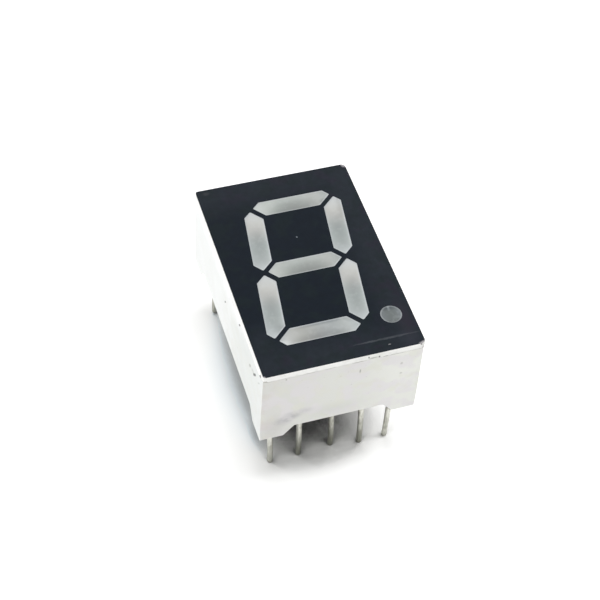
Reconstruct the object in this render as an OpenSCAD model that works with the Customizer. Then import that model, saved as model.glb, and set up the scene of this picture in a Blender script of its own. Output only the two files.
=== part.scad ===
// Single digit LED display: seven segments and a decimal point, through-hole leads.
// Origin: the middle of the lead pattern, on the plane where the four feet sit on a board.
// +Z points out of the printed face, +Y to the top of the digit. All sizes are in millimetres.

/* [Housing] */
// Width of the housing, across the digit
housing_w = 12.6; // [12.4:0.1:16]
// Length of the housing, along the digit
housing_l = 19; // [18.8:0.1:24]
// Height from the seating plane to the printed face
housing_h = 8; // [7:0.1:11]
// Thickness of the walls round the board pocket
wall = 0.55; // [0.4:0.05:0.6]
// How far the long walls lean in, from the seating plane up to the rim
side_draft = 0.06; // [0:0.01:0.1]
// How far the end walls lean in, from the seating plane up to the rim
end_draft = 0.2; // [0:0.01:0.24]
// Height of the rim round the face
rim_h = 0.55; // [0.3:0.05:1]
// Bevel on the rim's top edge
rim_bevel = 0.03; // [0.02:0.01:0.15]
// Corner radius of the rim
rim_r = 0.35; // [0.15:0.05:0.8]
// Corner radius of the walls below the rim
wall_r = 0.1; // [0.05:0.05:0.3]

/* [Feet] */
// Height of the feet, under the end walls
end_foot_h = 1; // [0.6:0.1:1.1]
// Height of the feet, under the long walls
side_foot_h = 1.1; // [0.6:0.1:1.2]
// Flat length of a foot, from the housing's corner
foot_flat = 1.88; // [1.2:0.02:2.4]
// Length of the slope beside a foot
foot_slope = 0.84; // [0.4:0.02:1.2]

/* [Digit] */
// Height of the digit
digit_h = 14.2; // [12:0.1:15]
// Width of the digit, before it is slanted
digit_w = 8; // [7:0.1:8.4]
// Width of a segment's stroke
stroke = 1.5; // [1:0.05:1.8]
// Slant of the digit, in degrees
slant = 8; // [0:0.5:10]
// Black gap between two neighbouring segments
miter_gap = 0.38; // [0.25:0.01:0.6]
// Cut across the digit's four outer corners
corner_cut = 1.35; // [0.9:0.05:1.6]
// Cut at the digit's waist, on its outer sides
waist_cut = 0.88; // [0.5:0.02:1.2]
// Corner radius of the windows
window_r = 0.1; // [0.03:0.01:0.2]
// Sideways place of the digit's middle
digit_x = -0.08; // [-0.5:0.01:0.2]
// Lengthways place of the digit's middle
digit_y = 0.03; // [-0.3:0.01:0.3]
// Diameter of the decimal point
point_d = 1.65; // [1.4:0.05:1.8]
// Sideways place of the decimal point
point_x = 4.66; // [4.5:0.01:4.9]
// How far the decimal point hangs below the digit's foot
point_drop = 0.04; // [0:0.01:0.3]
// Thickness of the black ink
ink_t = 0.04; // [0.02:0.01:0.1]
// Bare margin of the face, outside the ink
ink_margin = 0; // [0:0.01:0.4]

/* [Light wells] */
// Straight depth of a well, just under the face
well_land = 0.6; // [0.3:0.1:1.5]
// Width of a well at the board
well_w = 1; // [0.8:0.05:1.2]
// Length of a well at the board
well_l = 2.4; // [1.9:0.1:3]
// Diameter of the round well at the board
point_well_d = 1.4; // [1.3:0.05:1.5]

/* [Board] */
// Depth of the board pocket, from the seating plane
pocket_depth = 3; // [2.9:0.1:3.6]
// Corner radius of the board pocket
pocket_r = 0.3; // [0.1:0.05:0.5]
// Thickness of the board
board_t = 1; // [0.8:0.1:1.1]
// Gap between the board's edge and the pocket
board_gap = 0.05; // [0.02:0.01:0.1]
// Thickness of the copper
copper_t = 0.035; // [0.02:0.005:0.07]
// Width of a copper track
track_w = 0.3; // [0.2:0.05:0.4]
// Diameter of the copper ring at each lead
ring_d = 1.04; // [0.9:0.02:1.1]
// Depth of potting behind the board
potting_t = 0.65; // [0.5:0.05:0.7]

/* [Light sources] */
// Edge length of an LED die
die_w = 0.3; // [0.2:0.02:0.36]
// Height of an LED die
die_h = 0.15; // [0.1:0.01:0.3]
// Distance between a die's centre and its bond pad
bond_pitch = 0.9; // [0.8:0.05:1]
// Thickness of a bond wire
wire_d = 0.05; // [0.03:0.01:0.08]
// Side of the pad under a die
die_pad_w = 0.5; // [0.4:0.05:0.6]
// Side of the pad that takes the bond wire
bond_pad_w = 0.35; // [0.25:0.05:0.4]

/* [Leads] */
// Diameter of a lead, with its tin
lead_d = 0.5; // [0.4:0.05:0.55]
// Thickness of the tin on a lead, from the seating plane down
tin_t = 0.01; // [0.005:0.005:0.03]
// Length of a lead below the seating plane
lead_below = 6.2; // [3:0.1:8]
// Height of the rounding at a lead's tip
lead_tip_h = 0.18; // [0.05:0.01:0.25]
// Distance between neighbouring leads
lead_pitch = 2.54; // [2.54, 2]
// Distance between the two rows of leads
row_pitch = 15.24; // [15.24]
// Room between a lead's wire and its hole, all round
hole_gap = 0.05; // [0.03:0.01:0.08]
// Height of the solder collar behind the board
solder_h = 0.35; // [0.2:0.05:0.45]

/* [Hidden] */
SEGMENTS = ["a", "b", "c", "d", "e", "f", "g"];
LEAD_NUMBERS = [1:10];

// A short overshoot that carries each cut clean through
over = 1;
// Points on each rounded corner
arc_steps = 4;
round_fn = 48;
wire_fn = 16;
// Half the angle of a bond wire's arch, and a stretch past it that is trimmed at both feet
arch_spread = 65;
arch_spare = 8;

// Heights of the stack, from the seating plane up
face_z = housing_h - ink_t;
rim_z = face_z - rim_h;
deck_z = pocket_depth;
board_top = deck_z - copper_t;
board_bottom = board_top - board_t;
rear_pad_z = board_bottom - copper_t;
potting_z = board_bottom - potting_t;
land_z = face_z - well_land;

// Plan sizes
pocket_w = housing_w - 2 * wall;
pocket_l = housing_l - 2 * wall;
board_w = pocket_w - 2 * board_gap;
board_l = pocket_l - 2 * board_gap;
core_d = lead_d - 2 * tin_t;
hole_d = core_d + 2 * hole_gap;

// The digit, in upright coordinates u (across) and v (along) before the slant
half_w = digit_w / 2;
half_h = digit_h / 2;
miter = miter_gap / sqrt(2);
bar_v = half_h - stroke / 2;
post_u = half_w - stroke / 2;
post_top = half_h - (corner_cut + miter) / 2;
waist_u = (post_u + miter + half_w - waist_cut) / 2;
post_bottom = post_u + miter - waist_u;
post_v = (post_top + post_bottom) / 2;
bar_reach = half_w - (corner_cut + miter) / 2;
post_reach = (post_top - post_bottom) / 2 / cos(slant);
middle_reach = post_u - miter;

// Lights 0 to 6 are segments a to g, light 7 is the decimal point
POINT = 7;
LIGHTS = [0:7];
light_uv = [
    [0, bar_v], [post_u, post_v], [post_u, -post_v], [0, -bar_v],
    [-post_u, -post_v], [-post_u, post_v], [0, 0]
];
light_reach = [
    bar_reach, post_reach, post_reach, bar_reach, post_reach, post_reach, middle_reach
];
point_y = digit_y - half_h + point_d / 2 - point_drop;
// Angle from a die to its bond pad, seen from the face
post_up = 90 - slant;
wire_angle = [0, post_up, post_up - 180, 180, post_up - 180, post_up, 180, -90];
// The lead that feeds each light, and the two common leads
light_lead = [7, 6, 4, 2, 1, 9, 10, 5];
COMMON_LEADS = [3, 8];
// The g track runs out beside the left posts, in line with the inner side of its lead's ring
g_track_x = lead_at(light_lead[6])[0] + (ring_d - track_w) / 2;

function slanted(p) = [digit_x + p[0] + p[1] * tan(slant), digit_y + p[1]];
function light_at(i) = i == POINT ? [point_x, point_y] : slanted(light_uv[i]);
function toward(angle, d) = [d * cos(angle), d * sin(angle)];
function die_at(i) = light_at(i) - toward(wire_angle[i], bond_pitch / 2);
function bond_at(i) = light_at(i) + toward(wire_angle[i], bond_pitch / 2);
// Leads 1 to 5 run left to right along the digit's foot, 6 to 10 right to left along its top
function lead_at(n) =
    n <= 5 ? [(n - 3) * lead_pitch, -row_pitch / 2] : [(8 - n) * lead_pitch, row_pitch / 2];

// A polygon's points with each corner rounded to radius r
function unit(v) = v / norm(v);
function corner_arc(a, p, b, r) =
    let (
        e1 = unit(a - p),
        e2 = unit(b - p),
        half = acos(e1 * e2) / 2,
        centre = p + unit(e1 + e2) * r / sin(half),
        t1 = unit(p + e1 * r / tan(half) - centre),
        t2 = unit(p + e2 * r / tan(half) - centre)
    )
    [for (k = [0:arc_steps]) centre + r * unit(t1 * (arc_steps - k) + t2 * k)];
function rounded(points, r) =
    let (n = len(points))
    [for (i = [0:n - 1]) each corner_arc(points[(i + n - 1) % n], points[i], points[(i + 1) % n], r)];
function rectangle(w, l) = [[-w, -l] / 2, [w, -l] / 2, [w, l] / 2, [-w, l] / 2];
function trapezoid(low, high, z_low, z_high) =
    [[-low, z_low], [low, z_low], [high, z_high], [-high, z_high]];

// Outlines of the three kinds of segment, in u and v
outer_bar = let (tip_v = half_h - (corner_cut - miter) / 2)
    [
        [-(half_w - stroke - miter), half_h - stroke],
        [half_w - stroke - miter, half_h - stroke],
        [bar_reach, tip_v],
        [half_w - corner_cut, half_h],
        [-(half_w - corner_cut), half_h],
        [-bar_reach, tip_v]
    ];
post = [
    [half_w, waist_cut],
    [half_w, half_h - corner_cut],
    [half_w - (corner_cut - miter) / 2, post_top],
    [half_w - stroke, half_h - stroke - miter],
    [half_w - stroke, stroke / 2 + miter],
    [waist_u, post_bottom]
];
middle_bar = let (flat_u = middle_reach - stroke / 2)
    [
        [middle_reach, 0],
        [flat_u, stroke / 2],
        [-flat_u, stroke / 2],
        [-middle_reach, 0],
        [-flat_u, -stroke / 2],
        [flat_u, -stroke / 2]
    ];
function flipped(points, su, sv) = [for (p = points) [p[0] * su, p[1] * sv]];
segment_outline = [
    outer_bar, post, flipped(post, 1, -1), flipped(outer_bar, 1, -1),
    flipped(post, -1, -1), flipped(post, -1, 1), middle_bar
];
function window_points(i) = rounded([for (p = segment_outline[i]) slanted(p)], window_r);

// ---- Shared shapes ----

// The window's outline on the face
module window(i) {
    if (i == POINT)
        translate(light_at(i)) circle(d = point_d, $fn = round_fn);
    else
        polygon(window_points(i));
}

// A profile in x and z, drawn out along y
module along_y(profile, length) {
    rotate([90, 0, 0])
        linear_extrude(length, center = true)
            polygon(profile);
}

// A profile in y and z, drawn out along x
module along_x(profile, length) {
    rotate([90, 0, 90])
        linear_extrude(length, center = true)
            polygon(profile);
}

// The side view of a well: straight under the face, then narrowing to the board
function well_profile(half_top, half_base) = [
    [-half_base, deck_z - over], [half_base, deck_z - over], [half_base, deck_z],
    [half_top, land_z], [half_top, face_z + over], [-half_top, face_z + over],
    [-half_top, land_z], [-half_base, deck_z]
];

// The space of a light well between two heights. The wells and their castings share it.
module well(i, z_low, z_high) {
    intersection() {
        translate([0, 0, z_low])
            linear_extrude(z_high - z_low)
                window(i);
        if (i == POINT)
            point_funnel();
        else
            segment_funnel(i);
    }
}

module point_funnel() {
    translate([point_x, point_y, 0])
        rotate_extrude($fn = round_fn)
            polygon([
                [0, deck_z - over], [point_well_d / 2, deck_z - over], [point_well_d / 2, deck_z],
                [point_d / 2 + window_r, land_z], [point_d / 2 + window_r, face_z + over],
                [0, face_z + over]
            ]);
}

// Four sloping faces: two across the segment's ends and two along its sides
module segment_funnel(i) {
    is_post = light_uv[i][0] != 0;
    span = 2 * light_reach[i] + 2 * over;
    translate(light_at(i))
        rotate(is_post ? 90 - slant : 0)
            intersection() {
                along_y(well_profile(light_reach[i] + window_r, well_l / 2), span);
                along_x(well_profile(stroke / 2 + window_r, well_w / 2), span);
            }
}

// ---- Moulded housing ----

// The block inside the rim and the walls, before anything is cut out
module housing_block() {
    side = [
        [-housing_w / 2, 0], [housing_w / 2, 0], [housing_w / 2 - side_draft, rim_z],
        [housing_w / 2 - side_draft, face_z], [side_draft - housing_w / 2, face_z],
        [side_draft - housing_w / 2, rim_z]
    ];
    end = [
        [-housing_l / 2, 0], [housing_l / 2, 0], [housing_l / 2 - end_draft, rim_z],
        [housing_l / 2 - end_draft, face_z], [end_draft - housing_l / 2, face_z],
        [end_draft - housing_l / 2, rim_z]
    ];
    intersection() {
        linear_extrude(rim_z + rim_h / 2)
            polygon(rounded(rectangle(housing_w, housing_l), wall_r));
        along_y(side, housing_l + over);
        along_x(end, housing_w + over);
    }
}

// The rim round the face, proud of the walls below it
module rim() {
    intersection() {
        translate([0, 0, rim_z])
            linear_extrude(rim_h)
                polygon(rounded(rectangle(housing_w, housing_l), rim_r));
        along_y(bevelled(housing_w / 2), housing_l + over);
        along_x(bevelled(housing_l / 2), housing_w + over);
    }
}

function bevelled(half) = [
    [-half, rim_z - over], [half, rim_z - over], [half, face_z - rim_bevel],
    [half - rim_bevel, face_z], [rim_bevel - half, face_z], [-half, face_z - rim_bevel]
];

// The recess between two feet
function recess(half_length, foot_h) = trapezoid(
    half_length - foot_flat + foot_slope * over / foot_h,
    half_length - foot_flat - foot_slope,
    -over,
    foot_h
);

module reflector_housing() {
    color("whitesmoke")
        difference() {
            union() {
                housing_block();
                rim();
            }
            for (i = LIGHTS)
                well(i, deck_z - over / 2, face_z + over / 2);
            translate([0, 0, -over])
                linear_extrude(deck_z + over)
                    polygon(rounded(rectangle(pocket_w, pocket_l), pocket_r));
            along_y(recess(housing_w / 2, end_foot_h), housing_l + over);
            along_x(recess(housing_l / 2, side_foot_h), housing_w + over);
        }
}

module face_ink() {
    ink_w = housing_w - 2 * rim_bevel - 2 * ink_margin;
    ink_l = housing_l - 2 * rim_bevel - 2 * ink_margin;
    color([0.12, 0.13, 0.15])
        translate([0, 0, face_z])
            linear_extrude(ink_t)
                difference() {
                    polygon(rounded(rectangle(ink_w, ink_l), rim_r));
                    for (i = LIGHTS)
                        window(i);
                }
}

// ---- Lights ----

// Epoxy cast into a light well, round the die and its wire
module casting(i) {
    difference() {
        well(i, deck_z, face_z);
        die(i);
        bond_wire(i);
    }
}

module segment(i) {
    color([0.80, 0.81, 0.80])
        casting(i);
}

module decimal_point() {
    color([0.62, 0.63, 0.63])
        casting(POINT);
}

module die(i) {
    color("gold")
        translate(concat(die_at(i), deck_z + die_h / 2))
            rotate(wire_angle[i])
                cube([die_w, die_w, die_h], center = true);
}

// A wire that arches from the top of the die down to the bond pad
module bond_wire(i) {
    drop = atan(die_h / bond_pitch);
    arch_r = norm([bond_pitch, die_h]) / 2 / sin(arch_spread);
    sweep = arch_spread + arch_spare;
    difference() {
        translate(concat(light_at(i), deck_z + die_h / 2))
            rotate(wire_angle[i])
                rotate([0, drop, 0])
                    translate([0, 0, -arch_r * cos(arch_spread)])
                        rotate([90, 0, 0])
                            rotate(90 - sweep)
                                rotate_extrude(angle = 2 * sweep, $fn = round_fn)
                                    translate([arch_r, 0])
                                        circle(d = wire_d, $fn = wire_fn);
        die(i);
        translate(concat(light_at(i), deck_z - over / 2))
            cube([2 * bond_pitch, 2 * bond_pitch, over], center = true);
    }
}

module bond_wires() {
    color("goldenrod")
        for (i = LIGHTS)
            bond_wire(i);
}

// ---- Board ----

module circuit_board() {
    color([0.86, 0.84, 0.74])
        translate([0, 0, board_bottom])
            linear_extrude(board_t)
                difference() {
                    polygon(rounded(rectangle(board_w, board_l), pocket_r));
                    lead_holes();
                }
}

module lead_holes() {
    for (n = LEAD_NUMBERS)
        translate(lead_at(n))
            circle(d = hole_d, $fn = round_fn);
}

// A straight track between two points
module track(from, to) {
    run = to - from;
    translate(from)
        rotate(atan2(run[1], run[0]))
            translate([0, -track_w / 2])
                square([norm(run), track_w]);
}

module tracks(points) {
    for (k = [1:len(points) - 1])
        track(points[k - 1], points[k]);
}

module lead_ring(n) {
    translate(lead_at(n))
        circle(d = ring_d, $fn = round_fn);
}

module pad(place, angle, side) {
    translate(place)
        rotate(angle)
            square(side, center = true);
}

// Bond pad, track and lead ring of one light
module light_net(i) {
    lead = lead_at(light_lead[i]);
    corner = [g_track_x, bond_at(i)[1]];
    pad(bond_at(i), wire_angle[i], bond_pad_w);
    tracks(SEGMENTS[i] == "g" ? [bond_at(i), corner, lead] : [bond_at(i), lead]);
    lead_ring(light_lead[i]);
}

// The spine between the two common leads, down the digit's middle, with a branch to each die
module common_net() {
    spine_foot = [digit_x, light_at(3)[1]];
    spine_top = [digit_x, light_at(0)[1]];
    tracks([lead_at(COMMON_LEADS[0]), spine_foot, spine_top, lead_at(COMMON_LEADS[1])]);
    for (n = COMMON_LEADS)
        lead_ring(n);
    for (i = LIGHTS) {
        die_xy = die_at(i);
        pad(die_xy, wire_angle[i], die_pad_w);
        // The point's branch starts at the lower right die and then drops to its own
        branch = [digit_x, i == POINT ? die_at(2)[1] : die_xy[1]];
        tracks(i == POINT ? [branch, [die_xy[0], branch[1]], die_xy] : [branch, die_xy]);
    }
}

module front_tracks() {
    color("peru")
        translate([0, 0, board_top])
            linear_extrude(copper_t)
                difference() {
                    union() {
                        common_net();
                        for (i = LIGHTS)
                            light_net(i);
                    }
                    lead_holes();
                }
}

module rear_pads() {
    color("peru")
        for (n = LEAD_NUMBERS)
            translate(concat(lead_at(n), rear_pad_z))
                difference() {
                    cylinder(d = ring_d, h = copper_t, $fn = round_fn);
                    translate([0, 0, -over])
                        cylinder(d = hole_d, h = copper_t + 2 * over, $fn = round_fn);
                }
}

// Solder that fills the hole round a lead and swells into a collar behind the board
module solder_joint(n) {
    collar_z = rear_pad_z - solder_h;
    translate(concat(lead_at(n), 0))
        rotate_extrude($fn = round_fn)
            polygon([
                [core_d / 2, deck_z], [hole_d / 2, deck_z], [hole_d / 2, rear_pad_z],
                [ring_d / 2, rear_pad_z], [hole_d / 2, collar_z], [core_d / 2, collar_z]
            ]);
}

module solder_joints() {
    color("silver")
        for (n = LEAD_NUMBERS)
            solder_joint(n);
}

// The space that a lead, its rear pad and its solder collar take out of the potting
module lead_socket(n) {
    translate(concat(lead_at(n), 0))
        rotate_extrude($fn = round_fn)
            polygon([
                [0, 0], [core_d / 2, 0], [core_d / 2, rear_pad_z - solder_h],
                [hole_d / 2, rear_pad_z - solder_h], [ring_d / 2, rear_pad_z],
                [ring_d / 2, board_bottom + over / 2], [0, board_bottom + over / 2]
            ]);
}

// Epoxy behind the board and round its edge
module rear_potting() {
    color([0.78, 0.79, 0.77])
        difference() {
            translate([0, 0, potting_z])
                linear_extrude(board_top - potting_z)
                    polygon(rounded(rectangle(pocket_w, pocket_l), pocket_r));
            translate([0, 0, board_bottom])
                linear_extrude(board_t + over)
                    polygon(rounded(rectangle(board_w, board_l), pocket_r));
            for (n = LEAD_NUMBERS)
                lead_socket(n);
        }
}

// ---- Leads ----

// A wire with a rounded tip, tinned from the seating plane down
module lead(n) {
    tip_arc = [for (k = [0:arc_steps])
        let (a = 90 * k / arc_steps)
        [lead_d / 2 * sin(a), -lead_below + lead_tip_h * (1 - cos(a))]];
    color([0.74, 0.73, 0.70])
        translate(concat(lead_at(n), 0))
            rotate_extrude($fn = round_fn)
                polygon(concat(
                    tip_arc,
                    [[lead_d / 2, 0], [core_d / 2, 0], [core_d / 2, deck_z], [0, deck_z]]
                ));
}

// ---- Nodes ----

reflector_housing();
face_ink();
for (i = [0:6]) {
    segment(i);
    die(i);
}
decimal_point();
die(POINT);  // die_dp
bond_wires();
circuit_board();
front_tracks();
rear_pads();
solder_joints();
rear_potting();
for (n = LEAD_NUMBERS)
    lead(n);
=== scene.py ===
"""Looks of the seven segment display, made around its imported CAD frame.

Lengths are in metres and places are in the frame of the CAD model: x to the right of the digit,
y to its top, and z up from the seating plane of the housing's feet.
"""
import math
import random

import bmesh
import bpy
from mathutils import Matrix, Vector
from mathutils.geometry import delaunay_2d_cdt


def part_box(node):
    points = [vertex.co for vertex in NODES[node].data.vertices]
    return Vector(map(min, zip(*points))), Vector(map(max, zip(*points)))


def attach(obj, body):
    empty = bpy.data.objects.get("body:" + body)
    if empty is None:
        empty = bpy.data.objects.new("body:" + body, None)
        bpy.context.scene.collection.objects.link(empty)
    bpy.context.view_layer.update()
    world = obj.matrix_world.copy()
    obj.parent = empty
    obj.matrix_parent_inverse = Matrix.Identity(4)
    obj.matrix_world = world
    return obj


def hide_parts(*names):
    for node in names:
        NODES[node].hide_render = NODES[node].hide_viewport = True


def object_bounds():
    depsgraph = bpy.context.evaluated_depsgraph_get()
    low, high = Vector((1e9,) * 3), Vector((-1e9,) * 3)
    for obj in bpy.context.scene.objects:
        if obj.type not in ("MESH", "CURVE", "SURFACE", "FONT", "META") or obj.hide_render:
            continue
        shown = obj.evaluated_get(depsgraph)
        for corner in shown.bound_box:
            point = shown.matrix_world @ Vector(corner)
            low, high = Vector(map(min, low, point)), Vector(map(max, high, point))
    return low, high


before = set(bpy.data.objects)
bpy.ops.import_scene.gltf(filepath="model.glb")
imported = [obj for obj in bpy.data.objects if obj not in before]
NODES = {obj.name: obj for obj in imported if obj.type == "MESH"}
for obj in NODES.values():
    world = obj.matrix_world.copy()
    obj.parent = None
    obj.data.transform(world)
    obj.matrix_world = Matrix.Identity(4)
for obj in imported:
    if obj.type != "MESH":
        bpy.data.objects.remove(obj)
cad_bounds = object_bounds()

MM = 0.001
ROOT = "root"
HOUSING_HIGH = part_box("reflector_housing")[1]
FLOOR_Z = cad_bounds[0].z

RIM_HEIGHT = 0.55 * MM
RIM_LOW = HOUSING_HIGH.z - RIM_HEIGHT
RIM_RADIUS = 0.35 * MM
DRAWN_RADIUS = 0.15 * MM
SLANT = math.radians(8)
STROKE = 1.5 * MM

SEGMENTS = "abcdefg"
BARS = "adg"
LEADS = range(1, 11)

# How far each lead leans at its tip, across and along the digit, in millimetres.
LEAD_LEAN = {
    1: (0.38, -0.10),
    2: (0.22, -0.04),
    3: (0.48, 0.16),
    4: (0.27, -0.20),
    5: (-0.04, -0.14),
    6: (0.10, 0.05),
    7: (-0.12, 0.10),
    8: (0.06, -0.08),
    9: (-0.05, 0.12),
    10: (0.20, 0.60),
}


def srgb(red, green, blue):
    """The linear colour of three screen values from 0 to 255."""
    def linear(value):
        share = value / 255
        return share / 12.92 if share <= 0.04045 else ((share + 0.055) / 1.055) ** 2.4
    return (linear(red), linear(green), linear(blue), 1)


def point(x, y, z):
    """A place given in millimetres, in metres."""
    return Vector((x, y, z)) * MM


def run(start, end, size, count):
    """Evenly spaced places along a line, each paired with one half size: a short stroke."""
    return [(start.lerp(end, i / (count - 1)), size) for i in range(count)]


# ---------------------------------------------------------------- procedural finishes

class Finish:
    """One procedural material. Its methods add nodes, and most give the socket that holds the result."""

    def __init__(self, name):
        self.material = bpy.data.materials.new(name)
        self.material.use_nodes = True
        self.tree = self.material.node_tree
        self.shader = self.tree.nodes["Principled BSDF"]
        self.place = self.node("ShaderNodeTexCoord").outputs["Object"]
        self.ragged = self.place

    def node(self, kind, **settings):
        node = self.tree.nodes.new(kind)
        for name, value in settings.items():
            setattr(node, name, value)
        return node

    def feed(self, socket, value):
        """Links a socket to another, or sets it to a plain value."""
        if isinstance(value, bpy.types.NodeSocket):
            self.tree.links.new(value, socket)
        else:
            socket.default_value = value

    def math(self, operation, first, second=0.0, third=0.0):
        node = self.node("ShaderNodeMath", operation=operation)
        for socket, value in zip(node.inputs, (first, second, third)):
            self.feed(socket, value)
        return node.outputs[0]

    def add(self, first, second):
        return self.math("ADD", first, second)

    def times(self, first, *others):
        """The product of several masks or numbers."""
        for other in others:
            first = self.math("MULTIPLY", first, other)
        return first

    def inverse(self, mask):
        return self.math("SUBTRACT", 1.0, mask)

    def union(self, masks):
        """The strongest of several masks."""
        found = masks[0]
        for mask in masks[1:]:
            found = self.math("MAXIMUM", found, mask)
        return found

    def vector(self, operation, first, second=(0, 0, 0)):
        node = self.node("ShaderNodeVectorMath", operation=operation)
        self.feed(node.inputs[0], first)
        self.feed(node.inputs[1], second)
        return node.outputs["Value" if operation in ("LENGTH", "DOT_PRODUCT") else "Vector"]

    def axes(self, vector):
        """The three numbers of a vector."""
        node = self.node("ShaderNodeSeparateXYZ")
        self.feed(node.inputs[0], vector)
        return node.outputs["X"], node.outputs["Y"], node.outputs["Z"]

    def along(self, centre, direction, half_length):
        """How far along a direction a place is, from -1 to 1 over twice the half length."""
        offset = self.vector("SUBTRACT", self.place, centre)
        step = Vector(direction).normalized() / half_length
        return self.vector("DOT_PRODUCT", offset, step)

    def noise(self, size, detail=3.0, roughness=0.5, stretch=(1, 1, 1), shift=(0, 0, 0)):
        """Soft noise from 0 to 1 whose features are about `size` across, longer where stretched."""
        moved = self.vector("ADD", self.place, shift)
        scaled = self.vector("DIVIDE", moved, tuple(size * s for s in stretch))
        node = self.node("ShaderNodeTexNoise")
        self.feed(node.inputs["Vector"], scaled)
        self.feed(node.inputs["Scale"], 1.0)
        self.feed(node.inputs["Detail"], detail)
        self.feed(node.inputs["Roughness"], roughness)
        return node.outputs["Fac"]

    def map_range(self, value, settings, smooth=False):
        """A value mapped between ranges and kept inside the new one."""
        node = self.node("ShaderNodeMapRange", interpolation_type="SMOOTHSTEP" if smooth else "LINEAR")
        self.feed(node.inputs["Value"], value)
        for name, limit in settings.items():
            self.feed(node.inputs[name], limit)
        return node.outputs["Result"]

    def fade(self, value, start, end):
        """0 at start and 1 at end, with a smooth change between."""
        rising = start < end
        return self.map_range(value, {
            "From Min": min(start, end), "From Max": max(start, end),
            "To Min": 0.0 if rising else 1.0, "To Max": 1.0 if rising else 0.0,
        }, smooth=True)

    def share(self, value, low, high):
        """How far a value is from low to high, from 0 to 1."""
        return self.map_range(value, {"From Min": low, "From Max": high})

    def spread(self, value, low, high):
        """Maps 0 to 1 onto low to high."""
        return self.map_range(value, {"To Min": low, "To Max": high})

    def ramp(self, value, stops, smooth=False):
        """Colours along a value: stops are (value, colour)."""
        node = self.node("ShaderNodeValToRGB")
        elements = node.color_ramp.elements
        node.color_ramp.interpolation = "B_SPLINE" if smooth else "EASE"
        while len(elements) < len(stops):
            elements.new(0.5)
        for element, (position, colour) in zip(elements, stops):
            element.position = position
            element.color = colour
        self.feed(node.inputs["Fac"], value)
        return node.outputs["Color"]

    def blend(self, amount, first, second, mode="MIX"):
        """The first colour, with the second laid over it by the amount."""
        node = self.node("ShaderNodeMix", data_type="RGBA", blend_type=mode)
        self.feed(node.inputs["Factor"], amount)
        self.feed(node.inputs[6], first)
        self.feed(node.inputs[7], second)
        return node.outputs[2]

    def shaded(self, colour, amount, low, high):
        """The colour, made darker or lighter: times low where amount is 0 and high where it is 1."""
        level = self.spread(amount, low, high)
        node = self.node("ShaderNodeCombineColor")
        for name in ("Red", "Green", "Blue"):
            self.feed(node.inputs[name], level)
        return self.blend(1.0, colour, node.outputs["Color"], "MULTIPLY")

    def rag(self, size, amount):
        """Makes the outlines of later spots uneven."""
        node = self.node("ShaderNodeTexNoise")
        self.feed(node.inputs["Vector"], self.place)
        self.feed(node.inputs["Scale"], 1 / size)
        centred = self.vector("SUBTRACT", node.outputs["Color"], (0.5, 0.5, 0.5))
        self.ragged = self.vector("ADD", self.place, self.vector("MULTIPLY", centred, (amount,) * 3))

    def spot(self, centre, size, edge=0.5):
        """1 in an ellipsoid of that half size about a centre, falling to 0 at its edge."""
        offset = self.vector("SUBTRACT", self.ragged, centre)
        scaled = self.vector("DIVIDE", offset, size)
        return self.fade(self.vector("LENGTH", scaled), 1.0, 1.0 - edge)

    def bump(self, height, depth):
        """Relief of that depth, added to what is there already."""
        node = self.node("ShaderNodeBump")
        self.feed(node.inputs["Height"], height)
        self.feed(node.inputs["Distance"], depth)
        self.feed(node.inputs["Strength"], 1.0)
        links = self.shader.inputs["Normal"].links
        if links:
            self.feed(node.inputs["Normal"], links[0].from_socket)
        self.feed(self.shader.inputs["Normal"], node.outputs["Normal"])

    def done(self, colour, roughness, specular=0.5, metallic=0.0):
        """Feeds the shader and gives the finished material."""
        self.feed(self.shader.inputs["Base Color"], colour)
        self.feed(self.shader.inputs["Roughness"], roughness)
        self.feed(self.shader.inputs["Specular IOR Level"], specular)
        self.feed(self.shader.inputs["Metallic"], metallic)
        return self.material


# Dirt on the housing's left and end walls: how strong, its colour, and places with half sizes.
DIRT, SOOT = srgb(122, 121, 110), srgb(44, 44, 40)
MARKS = [
    (0.30, DIRT, [
        (point(4.64, -9.4, 5.81), point(0.16, 0.6, 0.20)),
        (point(4.70, -9.4, 4.60), point(0.16, 0.6, 0.14)),
        *run(point(-6.25, -8.28, 5.81), point(-6.25, -8.56, 6.15), point(0.6, 0.11, 0.11), 4),
        *run(point(-6.25, -6.80, 5.55), point(-6.25, -7.02, 5.62), point(0.6, 0.20, 0.20), 2),
    ]),
    (0.50, DIRT, [
        (point(1.34, -9.4, 5.99), point(0.09, 0.6, 0.32)),
        (point(1.42, -9.5, 7.42), point(0.30, 0.6, 0.10)),
        (point(2.15, -9.5, 7.66), point(0.50, 0.6, 0.11)),
        (point(3.10, -9.5, 7.52), point(0.30, 0.6, 0.07)),
        (point(-4.44, -9.45, 6.95), point(0.10, 0.6, 0.12)),
        (point(-6.05, -9.45, 7.31), point(0.34, 0.6, 0.06)),
        (point(-4.0, -9.5, 0.25), point(0.16, 0.6, 0.16)),
        *run(point(-6.25, -6.16, 5.23), point(-6.25, -6.36, 5.47), point(0.6, 0.19, 0.19), 3),
    ]),
    (0.88, SOOT, [
        *run(point(-6.25, -7.20, 5.47), point(-6.25, -7.60, 5.95), point(0.6, 0.17, 0.17), 5),
        *run(point(-6.25, -3.22, 6.48), point(-6.25, -3.42, 6.72), point(0.6, 0.13, 0.13), 3),
        *run(point(-6.25, 0.58, 4.73), point(-6.25, 0.42, 4.93), point(0.6, 0.11, 0.11), 3),
        *run(point(-6.32, -8.68, 7.22), point(-6.32, -9.02, 7.64), point(0.6, 0.18, 0.18), 5),
        (point(1.78, -9.5, 7.76), point(0.08, 0.6, 0.10)),
        (point(2.60, -9.5, 7.66), point(0.10, 0.6, 0.09)),
        (point(5.90, -9.5, 7.92), point(0.11, 0.3, 0.07)),
    ]),
]


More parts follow.
